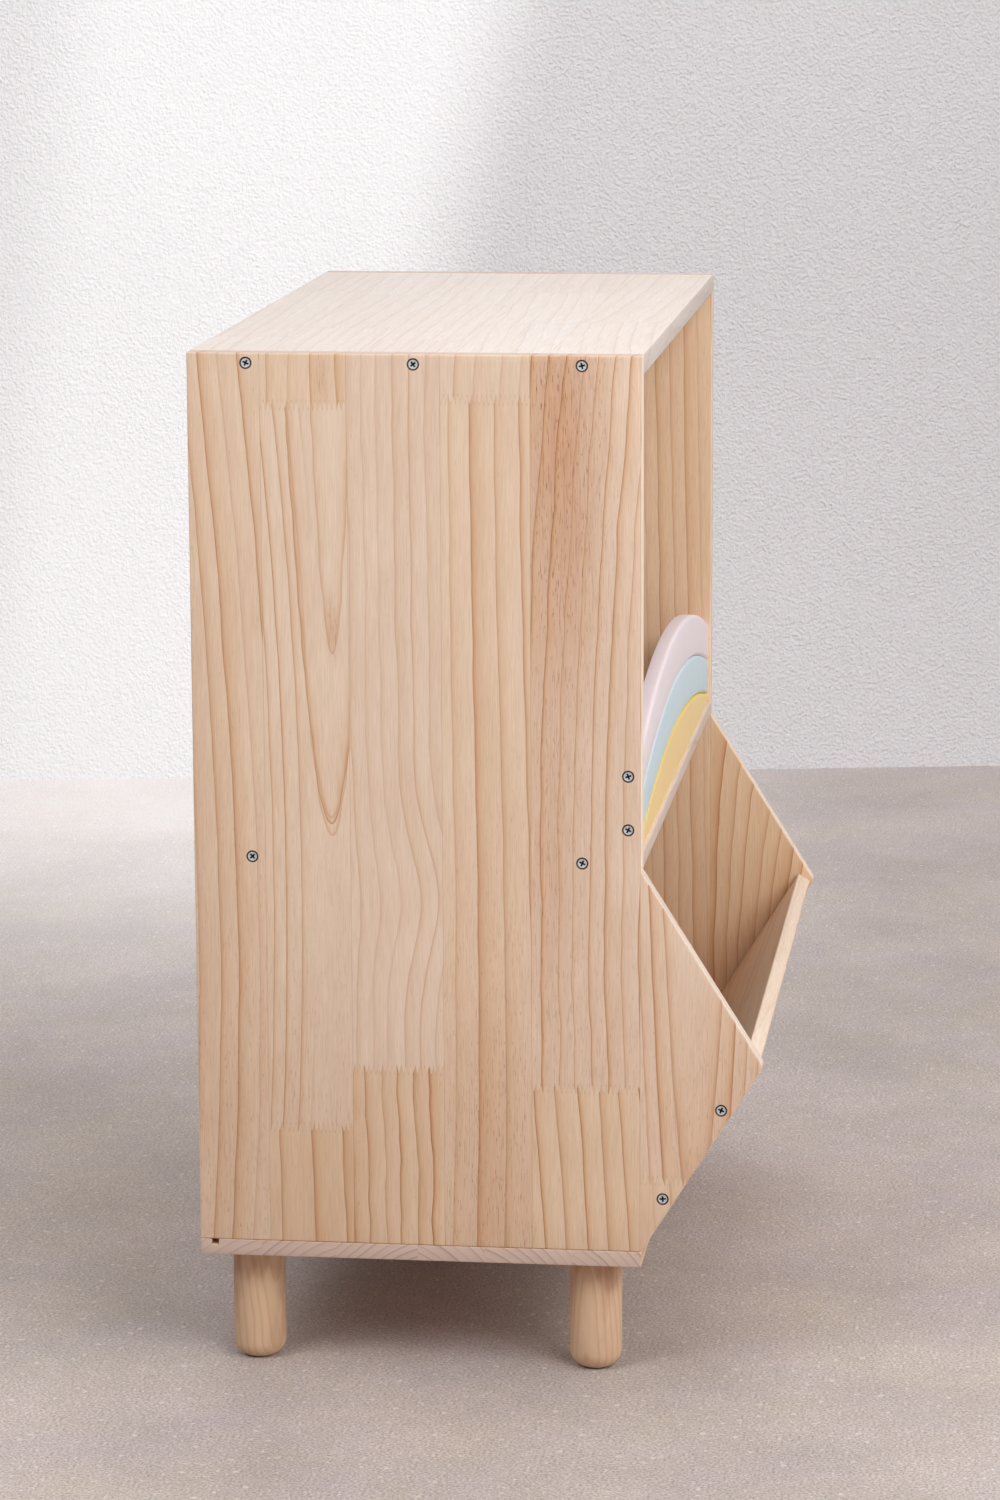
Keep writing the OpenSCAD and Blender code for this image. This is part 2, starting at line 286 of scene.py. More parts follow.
def lathe(profile, sides):
    """A closed shape turned about Z from points [radius, z], the first and last on Z."""
    shape = bmesh.new()
    first = shape.verts.new((0, 0, profile[0][1]))
    last = shape.verts.new((0, 0, profile[-1][1]))
    rings = []
    for radius, z in profile[1:-1]:
        rings.append([
            shape.verts.new((radius * math.cos(turn), radius * math.sin(turn), z))
            for turn in (2 * math.pi * i / sides for i in range(sides))
        ])
    for i in range(sides):
        j = (i + 1) % sides
        shape.faces.new((first, rings[0][j], rings[0][i]))
        shape.faces.new((last, rings[-1][i], rings[-1][j]))
        for lower, upper in zip(rings, rings[1:]):
            shape.faces.new((lower[i], lower[j], upper[j], upper[i]))
    bmesh.ops.recalc_face_normals(shape, faces=shape.faces)
    return shape


def cut(mesh, cutter, name):
    """The mesh less the cutter's shape, as a new mesh."""
    body = bpy.data.objects.new(name, mesh)
    tool = bpy.data.objects.new(name + "_cutter", cutter)
    for thing in (body, tool):
        bpy.context.scene.collection.objects.link(thing)
    boolean = body.modifiers.new("cut", "BOOLEAN")
    boolean.operation = "DIFFERENCE"
    boolean.solver = "EXACT"
    boolean.object = tool
    graph = bpy.context.evaluated_depsgraph_get()
    result = bpy.data.meshes.new_from_object(body.evaluated_get(graph))
    bpy.data.objects.remove(body)
    bpy.data.objects.remove(tool)
    result.name = name
    return smoothed(result)


# Where the screws go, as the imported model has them

def screw_places(node):
    """A matrix for each screw of a node: its origin on the wood's face, Z into the wood."""
    low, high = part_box(node)
    sizes = bpy.context.scene.cabinet_sizes
    head, sunk = sizes.head_width / 2, sizes.head_sunk
    front, back = low.y + head, high.y - head
    bottom, top = low.z + head, high.z - head
    if node.endswith("base_screws"):
        axis, x = (0, 0, 1), (low.x + high.x) / 2
        bottom = low.z - sunk
    else:
        axis, x = ((1, 0, 0), low.x - sunk) if low.x < 0 else ((-1, 0, 0), high.x + sunk)
    if "base" in node:
        spots = [(x, y, bottom) for y in (front, (front + back) / 2, back)]
    elif "top" in node:
        spots = [(x, y, top) for y in (front, (front + back) / 2, back)]
    elif "bin" in node:
        spots = [(x, back, bottom), (x, front, top)]
    elif "rainbow" in node:
        spots = [(x, front, bottom), (x, front, top)]
    else:
        spots = [(x, front, top), (x, back, top)]
    inward = Vector(axis).to_track_quat("Z", "Y").to_matrix().to_4x4()
    turns = random.Random(node)
    return [Matrix.Translation(spot) @ inward
            @ Matrix.Rotation(turns.uniform(0, math.pi / 2), 4, "Z") for spot in spots]


def sink_mouth(sizes):
    """The radius of a countersink where it opens."""
    return sizes.head_width / 2 + sizes.head_sunk + MOUTH_PLAY


def countersinks(nodes):
    """One cutter mesh with a countersunk hole at each screw of the nodes."""
    sizes = bpy.context.scene.cabinet_sizes
    hole, mouth = sizes.shank_width / 2 + HOLE_PLAY, sink_mouth(sizes)
    above = 1 * MM
    profile = [(0, -above), (mouth, -above), (mouth, 0), (hole, mouth - hole),
               (hole, SINK_DEPTH), (0, SINK_DEPTH)]
    joined = bmesh.new()
    for place in (place for node in nodes for place in screw_places(node)):
        single = lathe(profile, SCREW_SIDES)
        single.transform(place)
        mesh = plain_mesh(single, "hole")
        joined.from_mesh(mesh)
        bpy.data.meshes.remove(mesh)
    return plain_mesh(joined, "sinks")


def sunk_for_screws(mesh, nodes, name):
    """The mesh with countersunk holes, whose own faces have the second material: painted shade."""
    mesh = cut(mesh, countersinks(nodes), name)
    reach = sink_mouth(bpy.context.scene.cabinet_sizes)
    places = [place.inverted() for node in nodes for place in screw_places(node)]
    for face in mesh.polygons:
        for place in places:
            x, y, z = place @ face.center
            if math.hypot(x, y) < reach and TOLERANCE < z < SINK_DEPTH + 0.5 * MM:
                face.material_index = 1
    return mesh


# Material nodes

def by_node(operation, swapped=False):
    """A method that leaves a sum to one math node."""
    def worked_out(value, *others):
        values = (*others, value) if swapped else (value, *others)
        return value.nodes.math(operation, *values)
    return worked_out


class Value:
    """What a node gives at each point, so that sums of it are written as sums."""
    __add__ = __radd__ = by_node("ADD")
    __mul__ = __rmul__ = by_node("MULTIPLY")
    __sub__ = by_node("SUBTRACT")
    __rsub__ = by_node("SUBTRACT", swapped=True)
    __truediv__ = by_node("DIVIDE")
    __abs__ = by_node("ABSOLUTE")
    sqrt = by_node("SQRT")
    exp = by_node("EXPONENT")
    whole = by_node("FLOOR")
    fraction = by_node("FRACT")
    zigzag = by_node("PINGPONG")
    above = by_node("GREATER_THAN")
    below = by_node("LESS_THAN")
    close_to = by_node("COMPARE")
    at_least = by_node("MAXIMUM")
    at_most = by_node("MINIMUM")

    def __init__(self, nodes, socket):
        self.nodes = nodes
        self.socket = socket

    def ramp_up(self, low, high):
        """0 below low and 1 above high, smooth between."""
        return self.nodes.add("MapRange", {"Value": self, "From Min": low, "From Max": high},
                              "Result", interpolation_type="SMOOTHSTEP")

    def remap(self, from_low, from_high, to_low, to_high):
        """A straight mapping, not clamped."""
        return self.nodes.add(
            "MapRange", {"Value": self, "From Min": from_low, "From Max": from_high,
                         "To Min": to_low, "To Max": to_high}, "Result", clamp=False)


class Nodes:
    """A material's node tree, with a short call for each kind of node it needs."""

    def __init__(self, name, world=None):
        self.material = world or bpy.data.materials.new(name)
        self.material.use_nodes = True
        self.tree = self.material.node_tree
        self.shader = self.tree.nodes["Background" if world else "Principled BSDF"]

    def put(self, socket, value):
        """Feeds a socket with another node's value, a number or a colour."""
        if isinstance(value, Value):
            self.tree.links.new(value.socket, socket)
        else:
            socket.default_value = (*value, 1) if socket.type == "RGBA" else value

    def add(self, kind, inputs=None, output=0, **settings):
        """Adds a node, feeds its inputs and gives one of its outputs."""
        node = self.tree.nodes.new("ShaderNode" + kind)
        for key, setting in settings.items():
            setattr(node, key, setting)
        for key, value in (inputs or {}).items():
            self.put(node.inputs[key], value)
        return Value(self, node.outputs[output])

    def math(self, operation, *values):
        return self.add("Math", dict(enumerate(values)), operation=operation)

    def combine(self, x, y, z):
        return self.add("CombineXYZ", {0: x, 1: y, 2: z})

    def split(self, value, kind="XYZ"):
        """The three parts of a vector or a colour."""
        node = self.add("Separate" + kind, {0: value}).socket.node
        return [Value(self, socket) for socket in node.outputs]

    def noise(self, x, y, z, scale=1.0, detail=2.0, roughness=0.5):
        """Clouds from 0 to 1 at a point, drawn out along an axis where its place is scaled."""
        return self.add("TexNoise", {"Vector": self.combine(x, y, z), "Scale": scale,
                                     "Detail": detail, "Roughness": roughness}, "Fac")

    def mix(self, amount, first, second, blend="MIX"):
        return self.add("Mix", {"Factor": amount, 6: first, 7: second}, 2,
                        data_type="RGBA", blend_type=blend)

    def tinted(self, colour, shade):
        """The colour made darker or lighter."""
        return self.mix(1.0, colour, self.combine(shade, shade, shade), "MULTIPLY")

    def shaded(self, colour, shade):
        """The colour made darker or lighter, warmer where it darkens."""
        change = shade - 1
        parts = [change * share + 1 for share in (0.78, 1, 1.35)]
        return self.mix(1.0, colour, self.combine(*parts), "MULTIPLY")

    def place(self):
        """The point's x, y and z in the row's frame, in millimetres."""
        point = self.add("TexCoord", output="Object")
        return self.split(self.add("VectorMath", {0: point, "Scale": 1 / MM}, operation="SCALE"))

    def facing(self, axis):
        """How squarely the surface faces along an axis of the frame, from 0 to 1."""
        return abs(self.split(self.add("TexCoord", output="Normal"))[axis])

    def surface(self, colour, roughness, relief, depth, strength, gloss=0.5, metal=0):
        """The material with its colour, its roughness and a fine relief of a given depth."""
        bump = self.add("Bump", {"Height": relief, "Distance": depth, "Strength": strength})
        for key, value in (("Base Color", colour), ("Roughness", roughness), ("Normal", bump),
                           ("Specular IOR Level", gloss), ("Metallic", metal)):
            self.put(self.shader.inputs[key], value)
        return self.material

    def one_sided(self):
        """Clears the sheet from behind, so that a floor or wall hides nothing in other views."""
        sides = self.add("MixShader", {
            0: self.add("NewGeometry", output="Backfacing"),
            1: Value(self, self.shader.outputs[0]),
            2: self.add("BsdfTransparent"),
        })
        self.put(self.tree.nodes["Material Output"].inputs["Surface"], sides)


# Wood

class Piece(NamedTuple):
    """How one finger-jointed piece of a stave was sawn from its log, in millimetres."""
    pith: float = 0      # the pith's place across the board
    depth: float = 40    # the pith's depth below the board's middle
    lean: float = 0      # sideways run of the rings for each unit of length
    bow: float = 0       # sideways curve of the rings, at 300 mm from the middle
    snake: float = 0     # the same, but to the other side beyond the middle
    cone: float = 0      # climb of the rings for each unit of length, for arched figures
    ring: float = 12     # a growth ring's width
    shift: float = 0     # where the first ring falls, in rings
    fan: float = 0       # how much closer the rings get, at 300 mm from the middle
    wave: float = 1.2    # small waves in the rings
    line: float = 0.7    # strength of the ring lines
    soft: float = 1.3    # width of the dark wood beside each line
    tone: float = 0.25   # from pale sapwood to red heartwood
    fleck: float = 0.3   # dark resin flecks
    warm: float = 0.5    # from pink to yellow
    bark: float = 1      # 1 where the rings' sharp side faces away from the pith, else -1


# The largest value of each, for keeping a piece in stepped colour ramps
PIECE_RANGE = Piece(pith=900, depth=300, lean=0.4, bow=100, snake=60, cone=0.2, ring=24, shift=1,
                    fan=1, wave=12, line=1.5, soft=5, tone=1, fleck=1, warm=1, bark=1)
SIGNED = {"pith", "depth", "lean", "bow", "snake", "cone", "shift", "fan", "bark"}


class Board(NamedTuple):
    """A glued-up board: staves side by side, each with pieces end to end."""
    along: int           # index of the axis that the grain follows
    across: int          # index of the axis that the staves are counted on
    middle: tuple        # the board's middle, in millimetres
    borders: list        # glue lines between staves, across the board
    joints: list         # for each stave, the finger joints' places along the board
    pieces: list         # all pieces, stave by stave, in the order of their places
    stains: tuple = ()   # (piece, across, along, half width, half length, added tone)
    swirls: tuple = ()   # (piece, across, along, half width, half length, sideways shift)
    blanks: tuple = ()   # (piece, across, along, half width, half length, 1), without ring lines
    tongues: tuple = ()  # (piece, across, tip along the grain, half width 100 mm above, strength)


FINGER_PITCH = 3.5
FINGER_HALF = 3.6
GLUE_HALF = 0.28
BEND_LENGTH = 300
RING_EDGE = 0.5      # how far a ring's line takes to end, in millimetres
FAR_OUT = 1e4        # beyond any board's edge
SHORTEST = 60        # the shortest last piece of a stave, in millimetres
SAME_PIECE = 0.1     # two piece numbers are alike within this


def kept_share(piece, name):
    """A piece's value as a share of the largest, moved to 0.5 and up where it has a sign."""
    share = getattr(piece, name) / getattr(PIECE_RANGE, name)
    return 0.5 + share / 2 if name in SIGNED else share


def sawn_piece(nodes, pieces, index):
    """The values of the piece at a point, looked up by its index in stepped colour ramps."""
    found = []
    for start in range(0, len(Piece._fields), 4):
        names = Piece._fields[start:start + 4]
        colour = nodes.add("ValToRGB", {0: (index + 0.5) / len(pieces)}, "Color")
        ramp = colour.socket.node.color_ramp
        ramp.interpolation = "CONSTANT"
        while len(ramp.elements) < len(pieces):
            ramp.elements.new(1)
        while len(ramp.elements) > len(pieces):
            ramp.elements.remove(ramp.elements[-1])
        for i, piece in enumerate(pieces):
            ramp.elements[i].position = i / len(pieces)
            ramp.elements[i].color = [kept_share(piece, name) for name in names]
        alpha = Value(nodes, colour.socket.node.outputs["Alpha"])
        for name, value in zip(names, [*nodes.split(colour, "Color"), alpha]):
            top = getattr(PIECE_RANGE, name)
            found.append(value.remap(0, 1, -top if name in SIGNED else 0, top))
    return Piece(*found)


def joint_lines(nodes, board, along, across):
    """The index of the piece at a point, and how much glue or finger joint shows there."""
    half_pitch = FINGER_PITCH / 2
    reach = nodes.noise(across, 0, 0, 0.45, 1).remap(0, 1, 0.65, 1.3)
    comb = across.zigzag(half_pitch).remap(0, half_pitch, -FINGER_HALF, FINGER_HALF) * reach
    index, glue, finger = 0.0, 0.0, 0.0
    edges = [-FAR_OUT, *board.borders, FAR_OUT]
    for i, joints in enumerate(board.joints):
        past_border = across.above(edges[i])
        if i > 0:
            index = past_border * (len(board.joints[i - 1]) + 1) + index
            glue = abs(across - edges[i]).below(GLUE_HALF).at_least(glue)
        inside = past_border * across.below(edges[i + 1])
        for joint in joints:
            over = along - (comb + joint)
            index = index + over.above(0) * inside
            near = 1 - abs(over).ramp_up(0.2, 1.6)
            finger = (near * inside).at_least(finger)
    tips = abs(comb).ramp_up(FINGER_HALF * 0.45, FINGER_HALF * 0.95)
    return index, glue, finger * tips.remap(0, 1, 0.25, 1)


def spots(index, along, across, marks):
    """Soft ovals, each on one piece and as strong in its middle as its mark says."""
    total = 0.0
    for piece, middle_across, middle_along, half_width, half_length, strength in marks:
        x = (across - middle_across) / half_width
        y = (along - middle_along) / half_length
        oval = ((x * x + y * y) * -1).exp() * index.close_to(piece, SAME_PIECE)
        total = oval * strength + total
    return total


def tongue(nodes, index, along, across, mark):
    """One pointed ring line of a cathedral figure, and the softer wood inside it."""
    piece, middle, tip, half_width, strength = mark
    wobble = nodes.noise(tip, 0, along * 0.03, detail=1)
    side = across + wobble.remap(0, 1, -2, 2) - middle
    curve = 100 / half_width ** 2
    level = along - tip - side * side * curve
    slope = side * (2 * curve)
    inward = level / (slope * slope + 1).sqrt()
    close = inward.ramp_up(-RING_EDGE, 0) * index.close_to(piece, SAME_PIECE) * strength
    inward = inward.at_least(0)
    return (inward * -0.9).exp() * close, (inward * -0.22).exp() * close


def ring_lines(nodes, sawn, swirl, index, along, across, through):
    """The late wood of each growth ring: its dark core, and the softer wood beside it."""
    far = along / BEND_LENGTH
    square = far * far
    side = (across - sawn.pith - along * sawn.lean - square * sawn.bow
            - square * far * sawn.snake + swirl)

    # Small waves along the grain, alike for neighbouring rings
    own = index * 41.0
    wave = nodes.noise(across * 0.028, through * 0.028, along * 0.013 + own) - 0.5
    side = side + wave * 4 * sawn.wave

    under = through + sawn.depth
    radius = (side * side + under * under).sqrt() - along * sawn.cone
    age = (radius * (far * sawn.fan + 1) / sawn.ring + sawn.shift) * sawn.bark
    uneven = nodes.noise(age * 0.7, own, 0, detail=0)
    straight = sawn.cone.close_to(0, 0.01)
    age = uneven.remap(0, 1, -0.3, 0.3) * straight + age

    year = nodes.add("TexWhiteNoise", {"Vector": nodes.combine(age.whole(), index, 0)}, "Color",
                     noise_dimensions="2D")
    wide, strong = nodes.split(year, "Color")[:2]

    # Millimetres before the line: it darkens slowly on one side and ends at once on the other
    before = (1 - age.fraction()) * sawn.ring - RING_EDGE
    inward = before.at_least(0)
    width = sawn.soft * wide.remap(0, 1, 0.6, 1.5)
    core = (inward * -1 / width).exp() * 0.6 + (inward * -2.2).exp() * 0.4
    broad = (inward * -0.28 / width).exp()
    strength = sawn.line * strong.remap(0, 1, 0.45, 1.1) * before.ramp_up(-RING_EDGE, 0)
    return core * strength, broad * strength


def pine(name, board, paleness=0.0, compartment_shade=0.0, edge=0.0):
    """Edge-glued pine: rings, fibres and resin marks of each piece, and its joints."""
    colours = bpy.context.scene.cabinet_colours
    nodes = Nodes(name)
    place = nodes.place()
    axis = 3 - board.along - board.across
    row, across = place[board.along], place[board.across]
    along = row - board.middle[board.along]
    through = place[axis] - board.middle[axis]

    index, glue, finger = joint_lines(nodes, board, row, across)
    sawn = sawn_piece(nodes, board.pieces, index)
    swirl = spots(index, row, across, board.swirls)
    core, broad = ring_lines(nodes, sawn, swirl, index, along, across, through)
    if board.blanks:
        left = 1 - spots(index, row, across, board.blanks).ramp_up(0.15, 0.55)
        core, broad = core * left, broad * left
    for mark in board.tongues:
        line, soft = tongue(nodes, index, row, across, mark)
        core, broad = core.at_least(line), broad.at_least(soft)

    def streaks(along, fine, long, detail):
        """Noise drawn out along the grain: fine and long are its changes for each millimetre."""
        return nodes.noise(across * fine, through * fine, along * long, 1.0, detail, 0.6)

    # Fibres, short dark flecks, and slow clouds of colour
    own = index * 37.0 + along
    fibre = streaks(own, 0.9, 0.030, 3)
    staggered = nodes.noise(across, through, 0, 0.9, 1) * 160 + own
    fleck = streaks(staggered, 1.3, 0.17, 0).ramp_up(0.63, 0.73)
    hair = streaks(own, 2.2, 0.05, 1)
    cloud = streaks(own, 0.045, 0.010, 2)
    grain = streaks(own, 0.22, 0.007, 3)

    stain = spots(index, row, across, board.stains) * grain.remap(0.3, 0.7, 0.75, 1.2)
    tone = sawn.tone + cloud.remap(0.25, 0.75, -0.12, 0.12) + stain
    tone = tone.at_least(0).at_most(1)
    wood = nodes.mix(sawn.warm, colours.early_wood, colours.warm_wood)
    wood = nodes.mix(tone, wood, colours.heart_wood)
    wood = nodes.mix(broad * 0.64, wood, colours.broad_wood)
    late = nodes.mix(tone, colours.late_wood, RED_LATE_WOOD)
    wood = nodes.mix(core * fibre.remap(0.3, 0.7, 0.45, 0.95), wood, late)
    # Mixed towards a pale grey-white: pale wood, and on the top partly a painted sheen of light
    if paleness:
        wood = nodes.mix(paleness, wood, colours.pale_and_sheen_wood)
    # Painted warm shade of the compartments' faces: green and blue darkened as by light bounced off
    # wood
    if compartment_shade:
        wood = nodes.mix(compartment_shade, wood, colours.compartment_shade_tint, "MULTIPLY")
    # Painted highlight: edges and roundings facing across the board, lightened towards near-white as
    # if lit at a grazing angle
    if edge:
        highlighted_edge = nodes.facing(board.across).ramp_up(0.45, 0.8) * edge
        wood = nodes.mix(highlighted_edge, wood, EDGE_HIGHLIGHT)
    shade = fibre.remap(0.25, 0.75, 0.905, 1.07) * hair.remap(0.25, 0.75, 0.93, 1.06)
    wood = nodes.shaded(wood, shade * grain.remap(0.3, 0.7, 0.975, 1.02))
    dark = fleck * (sawn.fleck * 0.4 + stain * 1.6)
    wood = nodes.mix(dark.at_most(1), wood, RESIN)

    # The cut ends show denser, darker wood with the rings drawn across
    end = nodes.facing(board.along).ramp_up(0.72, 0.95)
    pores = nodes.noise(across, through, 0, 2.4, 2)
    end_shade = (core * 0.85 + pores * 0.35).remap(0, 1, 1.12, 0.60)
    wood = nodes.mix(end, wood, nodes.tinted(colours.end_wood, end_shade))

    flat_grain = 1 - end
    wood = nodes.mix(glue * 0.30 * flat_grain, wood, GLUE_LINE)
    glued = finger * hair.remap(0.35, 0.65, 0.12, 0.62)
    wood = nodes.mix(glued * flat_grain, wood, FINGER_GLUE)

    # A thin matt varnish: it follows the fibres and sinks a little into the end grain
    roughness = end * 0.12 + fibre.remap(0, 1, 0.48, 0.60)
    relief = core * 0.4 + fibre * 0.6 - finger.at_least(glue) * 0.6
    return nodes.surface(wood, roughness, relief, 0.10 * MM, 0.6, gloss=0.35)


def random_board(seed, along, across, sides, ends, middle, stave=65, length=330, tone=0.25,
                 warm=0.5, line=0.65, arches=0.35):
    """Staves and pieces laid out as a joiner's stock would come, from a fixed seed."""
    chance = random.Random(seed)
    (low, high), (start, end) = sides, ends
    count = max(1, round((high - low) / stave))
    width = (high - low) / count
    borders = [low + width * i + chance.uniform(-8, 8) for i in range(1, count)]
    joints, pieces = [], []

    def either_sign():
        return chance.choice((-1, 1))

    def drawn(middle_value, spread, least=0):
        return min(1, max(least, chance.gauss(middle_value, spread)))

    for i in range(count):
        places = []
        place = start + chance.uniform(0.25, 1.0) * length
        while place < end - SHORTEST:
            places.append(place)
            place += chance.uniform(0.7, 1.3) * length
        joints.append(places)
        centre = low + width * (i + 0.5)
        for _ in range(len(places) + 1):
            arched = chance.random() < arches
            aside = chance.uniform(-12, 12) if arched else either_sign() * chance.uniform(70, 160)
            pieces.append(Piece(
                pith=centre + aside,
                depth=either_sign() * chance.uniform(*((45, 75) if arched else (15, 60))),
                lean=chance.uniform(-0.05, 0.05),
                bow=chance.uniform(-8, 8),
                cone=either_sign() * chance.uniform(0.025, 0.05) if arched else 0,
                ring=chance.uniform(*((5, 8) if arched else (9, 17))),
                shift=chance.random(),
                wave=chance.uniform(0.8, 2.0),
                line=drawn(line, 0.15, 0.2),
                soft=chance.uniform(0.9, 1.7),
                tone=drawn(tone, 0.12),
                fleck=chance.uniform(0.15, 0.35),
                warm=drawn(warm, 0.2),
            ))
    return Board(along, across, middle, borders, joints, pieces)


def from_front(distance):
    """A place on the depth axis, in millimetres, from a distance behind the body's front."""
    return FRONT_Y / MM + distance


def from_base(height):
    """A place on the height axis, in millimetres, from a height over the base board."""
    return BASE_TOP / MM + height


def middle_of(node):
    """A node's middle, in millimetres."""
    low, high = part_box(node)
    return tuple((low + high) / 2 / MM)


DEPTH_SPAN = (from_front(0), from_front(BODY_D / MM))
WIDTH_SPAN = (-HALF_W / MM, HALF_W / MM)
HEIGHT_SPAN = (from_base(0), from_base(SIDE_H / MM))
BIN_SPAN = (from_base(0), from_base(152))


def side_piece(pith, depth, **others):
    """A piece of a side panel, its pith given from the body's front."""
    return Piece(from_front(pith), depth, **others)


def on_side(*marks):
    """A side panel's marks, each given by its piece, from the front and over the base board."""
    return [(piece, from_front(y), from_base(z), *rest) for piece, y, z, *rest in marks]


def left_board():
    """The staves of the left side panel, from the nose's tip to the back."""
    nose = [
        side_piece(-260, 40, lean=0.06, ring=13, line=0.7, tone=0.30, warm=0.6),
        side_piece(-40, 30, cone=0.035, ring=7, shift=0.07, wave=0.7, line=1.25, soft=1.1,
                   tone=0.12, fleck=0.45, warm=0.35),
    ]
    front = [
        side_piece(-110, 37.5, lean=0.115, bow=7.7, ring=15.3, shift=0.01, wave=1.0, line=1.45,
                   soft=2.0, tone=0.22, fleck=0.5, warm=0.8),
        side_piece(-110, 30, lean=-0.019, bow=-9.6, ring=12, shift=0.4, wave=1.6, line=1.3,
                   soft=0.8, tone=0.14, fleck=0.5, warm=0.3),
    ]
    second = [
        side_piece(20, 47.5, lean=0.056, bow=0.8, snake=-2.5, ring=16.6, shift=0.15, fan=0.1,
                   wave=0.9, line=1.0, soft=1.7, tone=0.06, warm=0.6),
        side_piece(20, 40, lean=-0.06, ring=15, shift=0.5, line=0.45, tone=0.12, warm=0.5),
    ]
    third = [
        side_piece(60, 37.5, lean=-0.077, bow=-16.5, ring=11.5, shift=0.44, wave=3.0, line=1.35,
                   soft=2.2, tone=0.22, fleck=0.5, warm=0.7),
        side_piece(60, 30, lean=0.01, ring=11.5, shift=0.2, wave=1.4, line=0.55, soft=1.0,
                   tone=0.10, fleck=0.35, warm=0.25),
    ]
    fourth = [
        side_piece(120, 30, lean=0.02, ring=24, shift=0.3, line=0.95, soft=2.2, tone=0.35,
                   warm=0.9),
        side_piece(120, 20, lean=0.017, bow=12.3, ring=10, shift=0.27, wave=0.5, line=0.95,
                   soft=0.9, tone=0.06, fleck=0.2, warm=0.45),
        side_piece(215, 35, lean=-0.06, cone=0.06, ring=14, shift=0.1, line=0.7, tone=0.12,
                   warm=0.8),
    ]
    back = [
        side_piece(150, 47.5, lean=0.062, bow=11.1, snake=-2.3, ring=14.4, shift=-0.23, fan=0.05,
                   wave=0.9, line=0.95, soft=1.6, tone=0.10, fleck=0.35, warm=0.5),
    ]
    return Board(
        along=2, across=1, middle=(left_low.x / MM, 0, sum(HEIGHT_SPAN) / 2),
        borders=[from_front(y) for y in (1, 82, 148, 217, 281)],
        joints=[[from_base(z) for z in heights]
                for heights in ([56], [125], [640], [136], [89.5, 635], [])],
        pieces=[*nose, *front, *second, *third, *fourth, *back],
        stains=on_side(
            (9, 229, 470, 4.5, 18, 0.55), (10, 236, 656, 6, 20, 0.3), (3, 60, 600, 30, 150, 0.66),
            (3, 66, 330, 22, 140, 0.25), (1, -60, 90, 60, 90, 0.20), (3, 40, 130, 60, 150, 0.12),
            (4, 110, 0, 60, 260, 0.40), (9, 250, 60, 60, 230, 0.20),
            (11, 310, 20, 60, 330, 0.18)),
        swirls=on_side((7, 152, 268, 52, 55, 16)),
        blanks=on_side((9, 222, 360, 28, 700, 1), (1, -41, 226, 12, 26, 1)),
        tongues=on_side((9, 231, 323, 17.7, 0.9), (9, 231, 327.5, 17.4, 0.6),
                        (9, 231, 314, 16.8, 0.5), (9, 229, 451, 10.6, 0.5)),
    )


def right_board():
    """The staves of the right side panel, whose inner face shows in the compartments."""
    nose = side_piece(80, 25, lean=0.106, ring=19.3, shift=0.37, fan=-0.9, wave=1.6, line=1.2,
                      soft=2.0, tone=0, fleck=0.4, warm=1.0)
    front = side_piece(-90, 25, lean=0.02, ring=11.5, shift=0.2, wave=1.2, line=0.85, soft=1.8,
                       tone=0, fleck=0.5, warm=0.8)
    behind = from_front(66)
    middle = (HALF_IN / MM, 0, sum(HEIGHT_SPAN) / 2)
    rest = random_board(11, 2, 1, (behind, DEPTH_SPAN[1]), HEIGHT_SPAN, middle, stave=67,
                        length=480, tone=0.15, warm=0.8)
    return rest._replace(borders=[from_front(0), behind, *rest.borders],
                         joints=[[], [], *rest.joints], pieces=[nose, front, *rest.pieces])


def base_pieces():
    """The base board's staves, sawn from above the pith, so that its ends show leaning rings."""
    borders = [from_front(y) for y in (52, 118, 169, 231, 288)]
    edges = [DEPTH_SPAN[0], *borders, DEPTH_SPAN[1]]
    pieces = []
    for i, (low, high) in enumerate(zip(edges, edges[1:])):
        centre = (low + high) / 2
        aside = 62 if centre < from_front(190) else -62
        pieces.append(Piece(pith=centre + aside, depth=66 + 7 * i, ring=5.6 + 0.5 * (i % 3),
                            shift=0.3 * i, line=1.0, soft=1.2, tone=0.25, warm=0.4))
    return Board(0, 1, middle_of("base_panel"), borders, [[] for _ in pieces], pieces)


# Pieces

def sharp_nose(tip_round):
    """How far the nose would reach forward if its tip weren't rounded."""
    reach = sharp = -TIP_Y
    for _ in range(20):
        half = math.atan2(NOSE_H / 2, sharp)
        sharp = reach + tip_round * (1 / math.sin(half) - 1)
    return sharp


def cabinet_outline(tip_round):
    """A side panel's outline in [y, z], with its nose and the nose's rounded tip."""
    middle = NOSE_H / 2
    spread = math.pi / 2 - math.atan2(middle, sharp_nose(tip_round))
    tip = corner((tip_round + TIP_Y, middle), tip_round, math.pi - spread, 2 * spread, 10)
    points = [(0, 0), (BODY_D, 0), (BODY_D, SIDE_H), (0, SIDE_H), (0, NOSE_H), *tip]
    return [(FRONT_Y + y, BASE_TOP + z) for y, z in points]


def slant(tip_round):
    """The nose's lower slant: the unit step up along it and the one behind it, in [y, z]."""
    step = Vector((-sharp_nose(tip_round), NOSE_H / 2)).normalized()
    return step, Vector((step.y, -step.x))


class PieceOperator:
    """What the operators that make pieces share."""
    bl_options = {"REGISTER", "UNDO"}

    @classmethod
    def poll(cls, context):
        return hasattr(context.scene, "cabinet_sizes")


def sink_shade_wood(name):
    """The countersinks' wood, painted dark as the shade in the gap around each screw's head."""
    nodes = Nodes(name)
    mottle = nodes.noise(*nodes.place(), 1.2, 3)
    return nodes.surface(nodes.mix(mottle, SINK_SHADE_PALE, SINK_SHADE_DARK),
                         mottle.remap(0, 1, 0.6, 0.8), mottle, 0.15 * MM, 0.5)


